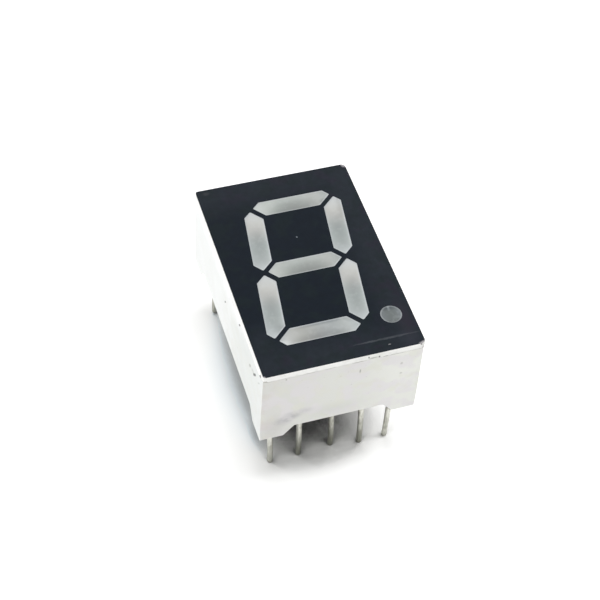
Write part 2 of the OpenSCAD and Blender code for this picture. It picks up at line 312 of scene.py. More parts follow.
def end_wall_colour(f, x, z):
    """The front wall: lighter to its right and its top, with lilac, yellowish and warm patches."""
    across = f.math("MULTIPLY_ADD", x, 0.5 / HOUSING_HIGH.x, 0.5)
    tones = [(0.05, srgb(232, 232, 227)), (0.55, srgb(238, 239, 233)), (0.9, srgb(247, 248, 242))]
    colour = f.shaded(f.ramp(across, tones), f.fade(z, 2 * MM, 6 * MM), 0.975, 1.01)
    lilac = f.fade(f.noise(1.9 * MM, detail=2), 0.46, 0.58)
    colour = f.blend(f.times(lilac, 0.5), colour, srgb(239, 235, 239))
    yellow = f.fade(f.noise(1.3 * MM, detail=2, shift=point(3, 0, 9)), 0.52, 0.66)
    colour = f.blend(f.times(yellow, 0.35), colour, srgb(236, 236, 222))
    warm = f.times(f.fade(x, -4.6 * MM, -6.2 * MM), f.fade(f.noise(1.2 * MM), 0.4, 0.6))
    return f.blend(f.times(warm, 0.4), colour, srgb(224, 217, 209))


def left_wall_shade_and_light(f, colour, left, y, z):
    """Painted shade at the foot of the left wall, faint patches over it, and a painted highlight: a
    paler band under the rim.
    """
    # Painted shade: the lower front of the left wall is drawn greyer.
    slope = f.add(z, f.times(y, 0.75))
    foot = f.times(f.fade(y, 2.0 * MM, -5.0 * MM), f.fade(slope, 4.6 * MM, 3.2 * MM))
    painted_shade = f.times(left, foot, f.spread(f.noise(1.6 * MM), 0.5, 0.9))
    colour = f.blend(f.times(painted_shade, 0.8), colour, srgb(217, 221, 218))
    patches = f.fade(f.noise(1.1 * MM, detail=4, shift=point(0, 5, 2)), 0.44, 0.60)
    patches = f.times(left, patches, f.fade(z, 6.4 * MM, 5.0 * MM), f.fade(y, 3 * MM, -2 * MM))
    colour = f.blend(f.times(patches, 0.35), colour, srgb(224, 225, 219))
    # Painted light: the left wall is drawn paler under the rim, most towards the back.
    ragged_z = f.add(z, f.spread(f.noise(0.8 * MM, detail=4), -0.8 * MM, 0.8 * MM))
    band = f.times(left, f.fade(ragged_z, 5.6 * MM, 6.9 * MM))
    band = f.times(band, f.spread(f.fade(y, -6.5 * MM, -0.5 * MM), 0.1, 0.75))
    return f.blend(band, colour, srgb(250, 250, 251))


def brighten_rim(f, colour, x, z):
    """A painted highlight on the rim, broken in one place and dimmed in patches, and a dark line in the
    step below it, partly dirt and partly painted shadow.
    """
    # Painted highlight: the rim's bead is drawn near white.
    ragged_z = f.add(z, f.spread(f.noise(0.4 * MM, detail=4), -0.07 * MM, 0.07 * MM))
    rim = f.fade(ragged_z, RIM_LOW + 0.12 * MM, RIM_LOW + 0.17 * MM)
    broken = f.times(f.spot(point(2.3, -9.6, 7.6), point(1.1, 0.8, 1.0)), 0.75)
    colour = f.blend(f.times(rim, f.inverse(broken)), colour, srgb(250, 250, 247))
    dimmed = f.times(rim, f.fade(f.noise(0.7 * MM, detail=4), 0.50, 0.66))
    colour = f.blend(f.times(dimmed, 0.35), colour, srgb(222, 222, 217))
    # The line under the bead: partly dirt and partly painted shadow, strongest to the right.
    step = f.times(f.fade(z, RIM_LOW - 0.10 * MM, RIM_LOW + 0.05 * MM), f.inverse(rim))
    dirt_and_shadow = f.union([f.fade(f.noise(0.9 * MM, detail=4), 0.44, 0.62), f.fade(x, 3.6 * MM, 4.6 * MM)])
    return f.blend(f.times(step, dirt_and_shadow, 0.55), colour, srgb(150, 149, 140))


def smudge_end_wall(f, colour):
    """A streaky smudge low on the front wall, a darker patch beside it, and a faint veil to its right.
    """
    smudge = f.union([
        f.spot(point(-4.45, -9.45, 1.85), point(1.0, 2.0, 0.80), edge=1.0),
        f.spot(point(-3.80, -9.45, 2.28), point(1.1, 2.0, 0.75), edge=1.0),
        f.times(f.spot(point(-2.9, -9.45, 2.55), point(1.1, 2.0, 0.6), edge=1.0), 0.5),
    ])
    streaks = f.fade(f.noise(0.40 * MM, detail=5, roughness=0.6, stretch=(1.3, 1, 1)), 0.34, 0.66)
    colour = f.blend(f.times(smudge, f.spread(streaks, 0.45, 0.9)), colour, srgb(186, 185, 187))
    darker_low_left = f.spot(point(-5.2, -9.45, 1.2), point(1.6, 1.0, 2.2), edge=1.0)
    colour = f.blend(f.times(darker_low_left, 0.3), colour, srgb(190, 187, 186))
    veil = f.spot(point(-0.6, -9.45, 1.9), point(3.4, 1.0, 1.3), edge=1.0)
    return f.blend(f.times(veil, 0.2), colour, srgb(192, 195, 188))


def housing_finish():
    """White moulded plastic, with the smudges, specks and dust of a part that has been handled, and
    painted light and shade on its left wall and rim.
    """
    f = Finish("housing_plastic")
    f.rag(0.25 * MM, 0.06 * MM)
    x, y, z = f.axes(f.place)
    facing_x, facing_y, _ = f.axes(f.node("ShaderNodeTexCoord").outputs["Normal"])
    left = f.fade(facing_x, -0.6, -0.9)
    front = f.fade(facing_y, -0.45, -0.8)

    plain = f.ramp(f.noise(2.5 * MM), [(0.3, srgb(236, 238, 236)), (0.7, srgb(240, 242, 241))])
    colour = f.blend(front, plain, end_wall_colour(f, x, z))
    colour = left_wall_shade_and_light(f, colour, left, y, z)
    colour = brighten_rim(f, colour, x, z)
    colour = smudge_end_wall(f, colour)
    for amount, tone, places in MARKS:
        dirt = f.union([f.spot(place, size, edge=0.7) for place, size in places])
        colour = f.blend(f.times(dirt, amount), colour, tone)
    dust = f.fade(f.noise(0.22 * MM, detail=1), 0.74, 0.79)
    colour = f.blend(f.times(dust, 0.25), colour, srgb(150, 148, 140))
    colour = f.shaded(colour, f.noise(0.5 * MM, detail=4), 0.985, 1.0)

    f.bump(f.noise(0.12 * MM, detail=3), 0.004 * MM)
    f.bump(f.noise(3.0 * MM, detail=1), 0.03 * MM)
    return f.done(colour, f.spread(f.noise(1.0 * MM), 0.42, 0.55), specular=0.4)


def wear_ink(f, colour):
    """The ink's scuff, haze and violet cast near the decimal point, its worn corners and a fleck."""
    scuff = f.spot(point(3.6, -8.36, 8.0), point(3.2, 0.11, 0.5), edge=0.5)
    scuff = f.times(scuff, f.noise(0.4 * MM, stretch=(3, 1, 1)))
    colour = f.blend(f.times(scuff, 0.5), colour, srgb(110, 114, 120))
    haze = f.spot(point(5.3, -8.6, 8.0), point(1.3, 1.2, 0.5), edge=0.9)
    colour = f.blend(f.times(haze, 0.15), colour, srgb(72, 74, 86))
    violet = f.spot(point(5.5, -6.9, 8.0), point(1.0, 2.6, 0.5), edge=0.8)
    colour = f.blend(f.times(violet, 0.55), colour, srgb(44, 41, 51))
    rear = f.spot(point(-5.5, 9.05, 8.0), point(0.45, 0.3, 0.5), edge=0.9)
    colour = f.blend(f.times(rear, 0.5), colour, srgb(62, 62, 66))
    worn = f.union([
        f.spot(point(6.30, 9.50, 8.0), point(0.50, 0.50, 0.5), edge=0.45),
        f.spot(point(-6.25, -9.45, 8.0), point(0.16, 0.16, 0.5), edge=0.4),
        f.spot(point(3.6, -8.95, 8.0), point(0.16, 0.04, 0.5), edge=0.6),
        f.spot(point(6.28, -9.55, 8.0), point(0.72, 0.36, 0.5), edge=0.4),
    ])
    colour = f.blend(f.times(worn, 0.85), colour, srgb(176, 173, 176))
    fleck = f.spot(point(0.14, 2.86, 8.0), point(0.08, 0.10, 0.5), edge=0.6)
    return f.blend(f.times(fleck, 0.7), colour, srgb(138, 146, 154))


def ink_finish():
    """Blue-black screen ink: navy at the middle, greyer to the right, top and bottom, partly wear and
    partly painted sheen.
    """
    f = Finish("face_ink_film")
    f.rag(0.3 * MM, 0.16 * MM)
    x, y, _ = f.axes(f.place)
    # Painted sheen, with wear: the ink is drawn greyer towards its right, top and bottom and in a patch
    # low on the left.
    sheen_and_wear = f.union([
        f.fade(x, 2.2 * MM, 5.4 * MM),
        f.times(f.fade(y, 5.6 * MM, 8.6 * MM), 0.85),
        f.times(f.fade(y, -5.0 * MM, -8.6 * MM), 0.9),
        f.times(f.spot(point(-5.4, -6.7, 8.0), point(1.7, 2.8, 1.0), edge=1.0), 0.9),
    ])
    sheen_and_wear = f.times(sheen_and_wear, f.spread(f.noise(2.2 * MM), 0.5, 1.3))
    colour = f.blend(sheen_and_wear, srgb(12, 21, 31), srgb(33, 39, 46))
    green = f.fade(f.noise(1.4 * MM), 0.48, 0.62)
    colour = f.blend(f.times(green, 0.35), colour, srgb(20, 32, 32))
    purple = f.times(f.fade(f.noise(1.1 * MM, shift=point(7, 3, 0)), 0.50, 0.66), sheen_and_wear)
    colour = f.blend(f.times(purple, 0.5), colour, srgb(38, 33, 48))
    colour = f.shaded(colour, f.noise(0.5 * MM, detail=5), 0.7, 1.3)
    colour = wear_ink(f, colour)
    f.bump(f.noise(0.10 * MM, detail=3), 0.002 * MM)
    f.bump(f.noise(1.8 * MM, detail=2), 0.012 * MM)
    return f.done(colour, f.spread(f.noise(0.8 * MM, detail=4), 0.28, 0.36), specular=0.10)


def milky(f, colour, edge_light_amount=0.6):
    """Finishes cured epoxy: clouds in it, and a painted highlight in a pale line along the window's
    edge.
    """
    cloud_size = 0.35 * MM
    colour = f.shaded(colour, f.noise(5 * MM), 0.96, 1.04)
    colour = f.shaded(colour, f.noise(2 * cloud_size, detail=4), 0.95, 1.05)
    cloud = f.fade(f.noise(cloud_size, detail=5), 0.50, 0.70)
    colour = f.blend(f.times(cloud, 0.10), colour, srgb(204, 207, 210))
    # Painted highlight: a pale line along the window's edge.
    gap = f.node("ShaderNodeAttribute", attribute_name="edge_gap").outputs["Fac"]
    edge_light = f.times(f.fade(gap, 0.16 * MM, 0.01 * MM), edge_light_amount)
    colour = f.blend(edge_light, colour, srgb(200, 205, 208))
    f.bump(f.noise(0.5 * MM, detail=2), 0.006 * MM)
    return f.done(colour, f.spread(f.noise(0.6 * MM), 0.26, 0.38), specular=0.2)


# The painted light and shade of the well that show through each kind of casting, by how far along the
# segment: 0 is the end nearest the foot of the digit or its left, 0.5 the deep middle of the well, and 1
# the other end.
POST_TONES = [
    (0.02, srgb(190, 196, 197)), (0.14, srgb(162, 168, 168)), (0.25, srgb(155, 161, 160)),
    (0.40, srgb(149, 156, 155)), (0.52, srgb(151, 156, 155)), (0.62, srgb(164, 166, 164)),
    (0.72, srgb(180, 180, 177)), (0.82, srgb(193, 194, 190)), (0.96, srgb(196, 199, 200)),
]
BAR_TONES = [
    (0.02, srgb(190, 194, 192)), (0.12, srgb(180, 185, 181)), (0.20, srgb(170, 175, 171)),
    (0.30, srgb(158, 163, 160)), (0.45, srgb(149, 154, 151)), (0.55, srgb(150, 154, 151)),
    (0.66, srgb(156, 161, 158)), (0.76, srgb(166, 169, 166)), (0.86, srgb(176, 179, 176)),
    (0.97, srgb(160, 165, 164)),
]
FOOT_TONES = [
    (0.02, srgb(186, 189, 190)), (0.12, srgb(184, 186, 184)), (0.26, srgb(170, 171, 167)),
    (0.40, srgb(159, 161, 159)), (0.50, srgb(155, 158, 157)), (0.66, srgb(157, 162, 163)),
    (0.78, srgb(166, 171, 170)), (0.88, srgb(181, 186, 185)), (0.97, srgb(172, 179, 180)),
]


def foot_bar_colour(f, length, width, share):
    """Segment d, with painted light and shade: dark along its near side, lit at mid-length, lighter at
    its left end, and grey along its far edge.
    """
    off_middle = f.math("ABSOLUTE", length)
    near = f.times(f.fade(width, 0.1, -0.8), f.fade(off_middle, 0.95, 0.35))
    colour = f.shaded(f.ramp(share, FOOT_TONES, smooth=True), near, 1.0, 0.76)
    lit = f.times(f.fade(width, 0.1, 0.6), f.fade(off_middle, 0.4, 0.1))
    colour = f.shaded(colour, lit, 1.0, 1.14)
    left_end = f.times(f.fade(width, -0.1, -0.6), f.fade(length, -0.65, -0.9))
    colour = f.shaded(colour, left_end, 1.0, 1.3)
    reach = f.math("MULTIPLY_ADD", f.fade(length, 0.60, 0.80), 0.45, width)
    far = f.times(f.fade(reach, 0.55, 0.95), f.fade(length, -0.6, 0.0))
    far = f.times(far, f.spread(f.fade(length, 0.50, 0.62), 0.8, 0.25))
    return f.blend(far, colour, srgb(124, 130, 134))


def bar_colour(f, letter, length, width, share):
    """Segments a and g, with painted light and shade: dark along the near side and pale along the far
    one.
    """
    off_middle = f.math("ABSOLUTE", length)
    near = f.times(f.fade(width, 0.2, -1.1), f.fade(off_middle, 0.95, 0.35))
    colour = f.shaded(f.ramp(share, BAR_TONES, smooth=True), near, 1.0, 0.74)
    far = f.times(f.fade(width, -0.1, 0.9), f.fade(off_middle, 0.85, 0.1))
    colour = f.shaded(colour, far, 1.0, 1.40)
    if letter == "a":
        # Segment a: painted light towards its left end and painted shade at its near right corner.
        colour = f.shaded(colour, f.fade(length, -0.2, -0.55), 1.0, 1.09)
        corner = f.times(f.fade(width, 0.1, -0.7), f.fade(length, 0.66, 0.80))
        colour = f.blend(f.times(corner, 0.8), colour, srgb(96, 101, 100))
    return colour


def post_colour(f, letter, length, width, share):
    """The four upright segments, with painted light and shade: pale along both sides of their dark
    middle.
    """
    colour = f.ramp(share, POST_TONES, smooth=True)
    sides = f.times(width, width, f.fade(length, 0.60, 0.2), f.fade(length, -0.95, -0.5))
    colour = f.shaded(colour, sides, 1.0, 1.34)
    # Painted shade on the upper right side of b and the lower right corner of e.
    if letter == "b":
        right_side = f.times(f.fade(width, 0.1, 0.7), f.fade(length, 0.1, 0.4))
        colour = f.shaded(colour, right_side, 1.0, 0.86)
    if letter == "e":
        corner = f.times(f.fade(width, -0.3, 0.6), f.fade(length, -0.50, -0.75))
        colour = f.shaded(colour, corner, 1.0, 0.76)
    return colour


def casting_finish(letter):
    """Milky epoxy over a reflector well, with the well's light and shade painted in: pale at its end
    walls and dark at its middle.
    """
    low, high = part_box("segment_" + letter)
    centre = (low + high) / 2
    f = Finish("casting_" + letter + "_epoxy")
    if letter in BARS:
        length = f.along(centre, (1, 0, 0), (high.x - low.x) / 2)
        width = f.along(centre, (0, 1, 0), (high.y - low.y) / 2)
    else:
        length = f.along(centre, (math.sin(SLANT), math.cos(SLANT), 0), (high.y - low.y) / 2)
        width = f.along(centre, (math.cos(SLANT), -math.sin(SLANT), 0), STROKE / 2)
    share = f.math("MULTIPLY_ADD", length, 0.5, 0.5)
    if letter == "d":
        return milky(f, foot_bar_colour(f, length, width, share))
    if letter in BARS:
        return milky(f, bar_colour(f, letter, length, width, share))
    return milky(f, post_colour(f, letter, length, width, share))


def point_finish():
    """The decimal point's greyer epoxy with painted shade: darker at its middle and at its far and near
    edges over the funnel, with a painted highlight at the middle of its far edge.
    """
    low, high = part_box("decimal_point")
    centre = (low + high) / 2
    half = (high.x - low.x) / 2
    f = Finish("decimal_point_epoxy")
    across = f.along(centre, (1, 0, 0), half)
    along = f.along(centre, (0, 1, 0), half)
    off_middle = f.math("ABSOLUTE", across)
    colour = f.ramp(off_middle, [(0.2, srgb(106, 112, 112)), (0.95, srgb(118, 124, 127))])
    # Painted shade at the far edge, with a painted highlight at its middle.
    far = f.fade(along, 0.35, 0.95)
    colour = f.blend(far, colour, srgb(80, 86, 90))
    gleam = f.times(far, f.fade(off_middle, 0.16, 0.04))
    colour = f.blend(f.times(gleam, 0.7), colour, srgb(150, 156, 160))
    # Painted shade at the near edge.
    colour = f.blend(f.fade(along, -0.45, -1.0), colour, srgb(96, 101, 102))
    return milky(f, colour, edge_light_amount=f.spread(f.fade(across, -0.2, -0.9), 0.30, 0.55))


def lead_finish():
    """Dipped tin on round wire: greenish grey and blotchy, with painted shade towards the tip and
    mid-row.
    """
    f = Finish("tinned_lead")
    x, _, z = f.axes(f.place)
    streak = f.noise(0.18 * MM, detail=4, stretch=(1, 1, 4))
    colour = f.ramp(streak, [(0.3, srgb(190, 190, 181)), (0.7, srgb(224, 224, 215))])
    blotch = f.fade(f.noise(0.45 * MM, detail=4, stretch=(1, 1, 1.6)), 0.48, 0.64)
    colour = f.blend(f.times(blotch, 0.5), colour, srgb(138, 138, 124))
    # Painted shade: the lower leads are drawn darker, most in the middle of the row.
    dimmed = f.fade(z, FLOOR_Z + 4.2 * MM, FLOOR_Z + 0.8 * MM)
    mid_row = f.fade(f.math("ABSOLUTE", x), 4.4 * MM, 3.2 * MM)
    colour = f.blend(f.times(dimmed, f.spread(mid_row, 0.36, 0.92)), colour, srgb(128, 129, 118))
    # Painted shade where the tips meet the floor.
    tip = f.fade(z, FLOOR_Z + 0.6 * MM, FLOOR_Z)
    colour = f.blend(f.times(tip, 0.6), colour, srgb(120, 119, 110))
    f.bump(streak, 0.008 * MM)
    f.bump(f.noise(0.35 * MM, detail=3), 0.03 * MM)
    return f.done(colour, f.spread(f.noise(0.3 * MM, detail=4), 0.24, 0.40), metallic=0.95)


def board_finish():
    """Bare glass laminate: a faint woven grid under a cloudy resin."""
    f = Finish("board_laminate")
    weave = f.node("ShaderNodeTexChecker")
    f.feed(weave.inputs["Vector"], f.place)
    f.feed(weave.inputs["Scale"], 1 / (0.4 * MM))
    colour = f.ramp(f.noise(1.5 * MM), [(0.3, srgb(196, 187, 152)), (0.7, srgb(210, 202, 170))])
    colour = f.shaded(colour, weave.outputs["Fac"], 0.95, 1.0)
    f.bump(weave.outputs["Fac"], 0.008 * MM)
    return f.done(colour, f.spread(f.noise(0.8 * MM), 0.5, 0.65))


def copper_finish():
    """Etched copper, tarnished in patches."""
    f = Finish("etched_copper")
    tones = [(0.3, srgb(150, 92, 62)), (0.65, srgb(212, 146, 112))]
    colour = f.ramp(f.noise(0.5 * MM, detail=4), tones)
    f.bump(f.noise(0.06 * MM), 0.003 * MM)
    return f.done(colour, f.spread(f.noise(0.3 * MM), 0.3, 0.5), metallic=0.9)


def solder_finish():
    """Dull solder with a faint frosted grain."""
    f = Finish("dull_solder")
    tones = [(0.3, srgb(176, 176, 174)), (0.7, srgb(212, 212, 210))]
    colour = f.ramp(f.noise(0.2 * MM, detail=4), tones)
    f.bump(f.noise(0.08 * MM, detail=3), 0.006 * MM)
    return f.done(colour, f.spread(f.noise(0.2 * MM), 0.35, 0.5), metallic=0.9)


def potting_finish():
    """Cast epoxy at the back: cloudy, with pinholes and slow ripples."""
    f = Finish("potting_epoxy")
    tones = [(0.3, srgb(192, 192, 184)), (0.7, srgb(210, 210, 203))]
    colour = f.ramp(f.noise(2.0 * MM, detail=4), tones)
    pinholes = f.fade(f.noise(0.2 * MM, detail=0), 0.74, 0.8)
    colour = f.blend(f.times(pinholes, 0.5), colour, srgb(120, 118, 108))
    f.bump(pinholes, -0.02 * MM)
    f.bump(f.noise(1.5 * MM, detail=2), 0.04 * MM)
    return f.done(colour, f.spread(f.noise(1.0 * MM), 0.2, 0.34))


def die_finish():
    """A sawn chip, with saw lines on its sides."""
    f = Finish("sawn_die")
    lines = f.node("ShaderNodeTexWave", bands_direction="Z")
    f.feed(lines.inputs["Vector"], f.place)
    f.feed(lines.inputs["Scale"], 1 / (0.12 * MM))
    colour = f.ramp(f.noise(0.1 * MM), [(0.3, srgb(196, 168, 98)), (0.7, srgb(226, 206, 140))])
    colour = f.shaded(colour, lines.outputs["Fac"], 0.9, 1.0)
    f.bump(lines.outputs["Fac"], 0.002 * MM)
    return f.done(colour, f.spread(f.noise(0.1 * MM), 0.25, 0.4))


def wire_finish():
    """Drawn gold wire."""
    f = Finish("gold_wire")
    colour = f.ramp(f.noise(0.1 * MM), [(0.3, srgb(226, 176, 92)), (0.7, srgb(250, 214, 138))])
    f.bump(f.noise(0.02 * MM), 0.001 * MM)
    return f.done(colour, f.spread(f.noise(0.05 * MM), 0.18, 0.3), metallic=1.0)


# ---------------------------------------------------------------- meshes

# Two places this close are the same place.
TOUCH = 1e-3 * MM
# Edges that turn more than this show as edges.
SHARP = math.radians(35)


def cad_form(node):
    """A CAD node's form as a new bmesh, with its split corners joined and its flat faces whole."""
    form = bmesh.new()
    form.from_mesh(NODES[node].data)
    bmesh.ops.remove_doubles(form, verts=form.verts, dist=0.1 * TOUCH)
    bmesh.ops.dissolve_limit(form, angle_limit=math.radians(0.5), verts=form.verts, edges=form.edges)
    return form


def piece(name, form, material, node):
    """Puts a form into the scene as a piece on the root body that stands for a CAD node."""
    mesh = bpy.data.meshes.new(name)
    form.to_mesh(mesh)
    form.free()
    if "custom_normal" in mesh.attributes:
        mesh.attributes.remove(mesh.attributes["custom_normal"])
    mesh.materials.clear()
    mesh.materials.append(material)
    mesh.polygons.foreach_set("material_index", [0] * len(mesh.polygons))
    mesh.polygons.foreach_set("use_smooth", [True] * len(mesh.polygons))
    mesh.set_sharp_from_angle(angle=SHARP)
    made = bpy.data.objects.new(name, mesh)
    bpy.context.scene.collection.objects.link(made)
    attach(made, ROOT)
    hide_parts(node)
    return made


def soften(made, width):
    """Rounds a piece's sharp edges in the mesh and keeps its flats flat."""
    bevel = made.modifiers.new("soft_edges", "BEVEL")
    bevel.width = width
    bevel.segments = 2
    bevel.limit_method = "ANGLE"
    bevel.angle_limit = SHARP
    bevel.use_clamp_overlap = True
    normals = made.modifiers.new("flat_flats", "WEIGHTED_NORMAL")
    normals.keep_sharp = True


def outward(place):
    """The direction straight out of the rim's rounded outline at a place on it."""
    inner_x, inner_y = HOUSING_HIGH.x - RIM_RADIUS, HOUSING_HIGH.y - RIM_RADIUS
    nearest_x = max(-inner_x, min(inner_x, place.x))
    nearest_y = max(-inner_y, min(inner_y, place.y))
    return (place - Vector((nearest_x, nearest_y, place.z))).normalized()


# The bead's profile: how far down the rim, from 0 to 1, and how far out of its face.
BEAD = [
    (0, 0), (0.35, 0.05 * MM), (0.55, 0.075 * MM),
    (0.68, 0.085 * MM), (0.82, 0.07 * MM), (1, 0.015 * MM),
]
BEAD_TOP = HOUSING_HIGH.z - 0.03 * MM
BEAD_STEP = 0.4 * MM


def bead_reach(share):
    """How far the bead stands out at a share of the way down the rim."""
    for (above, out_above), (below, out_below) in zip(BEAD, BEAD[1:]):
        if share <= below:
            return out_above + (out_below - out_above) * (share - above) / (below - above)


def flare_rim(form):
    """Gives the rim's outer face the uneven bead that the mould left round it."""
    def on_rim(vert):
        return RIM_LOW - TOUCH < vert.co.z < BEAD_TOP + TOUCH

    def rim_faces():
        return [f for f in form.faces if abs(f.normal.z) < 0.1 and all(on_rim(v) for v in f.verts)]

    def cut(place, normal):
        faces = rim_faces()
        edges = {e for f in faces for e in f.edges}
        band = [*faces, *edges, *{v for f in faces for v in f.verts}]
        bmesh.ops.bisect_plane(form, geom=band, dist=0.1 * TOUCH, plane_co=place, plane_no=normal)

    for share, _ in BEAD[1:-1]:
        cut((0, 0, BEAD_TOP + (RIM_LOW - BEAD_TOP) * share), (0, 0, 1))
    columns, rows = int(HOUSING_HIGH.x / BEAD_STEP), int(HOUSING_HIGH.y / BEAD_STEP)
    for i in range(-columns, columns + 1):
        cut((i * BEAD_STEP, 0, 0), (1, 0, 0))
    for i in range(-rows, rows + 1):
        cut((0, i * BEAD_STEP, 0), (0, 1, 0))

    rng = random.Random(5)
    ripples = [(rng.uniform(0.6, 3.0) / MM, rng.uniform(0, 2 * math.pi)) for _ in range(5)]
    verts = {v for f in rim_faces() for v in f.verts}
    for vert in sorted(verts, key=lambda v: tuple(round(c / MM, 3) for c in v.co)):
        share = min(1, max(0, (BEAD_TOP - vert.co.z) / (BEAD_TOP - RIM_LOW)))
        walk = vert.co.x + vert.co.y
        wave = sum(math.sin(walk * rate + phase) for rate, phase in ripples) / len(ripples)
        rough = rng.uniform(-1, 1)
        vert.co += outward(vert.co) * bead_reach(share) * (1 + 0.4 * wave + 0.08 * rough)
        vert.co.z += min(1, share / 0.5) * (0.06 * wave + 0.01 * rough) * MM


def draw_out_corners(form):
    """Sharpens a form's two left corners from the foot of the rim up, as the mould left them."""
    upper = [v for v in form.verts if v.co.z > RIM_LOW - TOUCH]
    half_x, half_y = max(v.co.x for v in upper), max(v.co.y for v in upper)
    give = RIM_RADIUS - DRAWN_RADIUS
    for vert in upper:
        across = -vert.co.x - (half_x - RIM_RADIUS)
        along = abs(vert.co.y) - (half_y - RIM_RADIUS)
        reach = math.hypot(across, along)
        least = RIM_RADIUS - 5 * TOUCH if vert.co.z < RIM_LOW + TOUCH else 0
        if min(across, along) <= 0 or not least < reach < RIM_RADIUS + TOUCH:
            continue
        if RIM_RADIUS * min(across, along) < give * max(across, along):
            growth = reach / max(across, along) - 1
        else:
            diagonal = give * (across + along) / reach
            drawn = diagonal + math.sqrt(diagonal ** 2 - 2 * give ** 2 + DRAWN_RADIUS ** 2)
            growth = drawn / RIM_RADIUS - 1
        vert.co.x -= across * growth
        vert.co.y += math.copysign(along * growth, vert.co.y)


def make_housing():
    form = cad_form("reflector_housing")
    draw_out_corners(form)
    flare_rim(form)
    housing = piece("housing_moulding", form, housing_finish(), "reflector_housing")
    soften(housing, 0.02 * MM)


def make_ink():
    form = cad_form("face_ink")
    draw_out_corners(form)
    piece("printed_face", form, ink_finish(), "face_ink")


# A casting's top: how deep it sags, how near its edge it levels out, and how fine its skin is.
SAG = 0.03 * MM
SAG_EDGE = 0.09 * MM
SKIN_STEP = 0.1 * MM


def edge_distance(place, outline):
    """How far a place is from the nearest side of an outline."""
    nearest = math.inf
    for start, end in zip(outline, outline[1:] + outline[:1]):
        side = end - start
        share = min(1, max(0, (place - start).dot(side) / side.length_squared))
        nearest = min(nearest, (place - start - side * share).length)
    return nearest


def inside(place, outline):
    """Whether a place is in an outline: a line from it to the right crosses an odd number of sides."""
    odd = False
    for start, end in zip(outline, outline[1:] + outline[:1]):
        if (start.y > place.y) != (end.y > place.y):
            if place.x < start.x + (place.y - start.y) / (end.y - start.y) * (end.x - start.x):
                odd = not odd
    return odd


def open_top(form, top_z):
    """Divides the sides of a form's flat top, removes its face, and gives the corners round it."""
    def on_top(part):
        return all(top_z - v.co.z < TOUCH for v in part.verts)

    for side in [e for e in form.edges if on_top(e)]:
        cuts = int(side.calc_length() / SKIN_STEP)
        if cuts:
            bmesh.ops.subdivide_edges(form, edges=[side], cuts=cuts)
    top = next(f for f in form.faces if on_top(f) and f.normal.z > 0.9)
    rim = [loop.vert for loop in top.loops]
    form.faces.remove(top)
    return rim


def staggered_grid(outline):
    """Places in staggered rows in an outline, none close to its sides."""
    low = Vector((min(p.x for p in outline), min(p.y for p in outline)))
    high = Vector((max(p.x for p in outline), max(p.y for p in outline)))
    for column in range(int((high.x - low.x) / SKIN_STEP) + 1):
        for row in range(int((high.y - low.y) / SKIN_STEP) + 1):
            place = low + Vector((column + 0.5 * (row % 2), row)) * SKIN_STEP
            if inside(place, outline) and edge_distance(place, outline) > 0.5 * SKIN_STEP:
                yield place


def sink_top(form):
    """Remakes a form's flat top as a fine skin that dips inside its outline, as cured epoxy does."""
    edge_gap = form.verts.layers.float.new("edge_gap")
    top_z = max(v.co.z for v in form.verts)
    rim = open_top(form, top_z)
    outline = [v.co.to_2d() for v in rim]
    count = len(outline)
    border = [(i, (i + 1) % count) for i in range(count)]
    places, _, faces, origins, _, _ = delaunay_2d_cdt(
        outline + list(staggered_grid(outline)), border, [], 1, 0.1 * TOUCH,
    )
    skin = []
    for place, origin in zip(places, origins):
        if origin and origin[0] < count:
            skin.append(rim[origin[0]])
            continue
        gap = edge_distance(place, outline)
        vert = form.verts.new((place.x, place.y, top_z - SAG * (1 - math.exp(-gap / SAG_EDGE))))
        vert[edge_gap] = gap
        skin.append(vert)
    for face in faces:
        form.faces.new([skin[i] for i in face])
    bmesh.ops.recalc_face_normals(form, faces=form.faces)


def make_casting(name, node, material):
    form = cad_form(node)
    sink_top(form)
    piece(name, form, material, node)


LEAD_SIDES = 24
LEAD_TIP = 0.18 * MM
LEAD_STEP = 0.2 * MM
LEAN_START = 1.1 * MM


def lead_radius(z, radius, tip_z):
    """The wire's radius at a height, drawn in along a quarter round at the tip."""
    above = (z - tip_z) / LEAD_TIP
    if above >= 1:
        return radius
    return radius - LEAD_TIP * (1 - math.sqrt(max(0, 1 - (1 - above) ** 2)))


def lead_heights(low_z, high_z):
    """The heights of a lead's rings, from its top to its tip."""
    heights = [high_z, 1.2 * MM, 0.6 * MM]
    z = LEAD_STEP
    while z > low_z + LEAD_STEP:
        heights.append(z)
        z -= LEAD_STEP
    return heights + [low_z + v * MM for v in (0.18, 0.14, 0.1, 0.06, 0.03, 0.01, 0.0)]


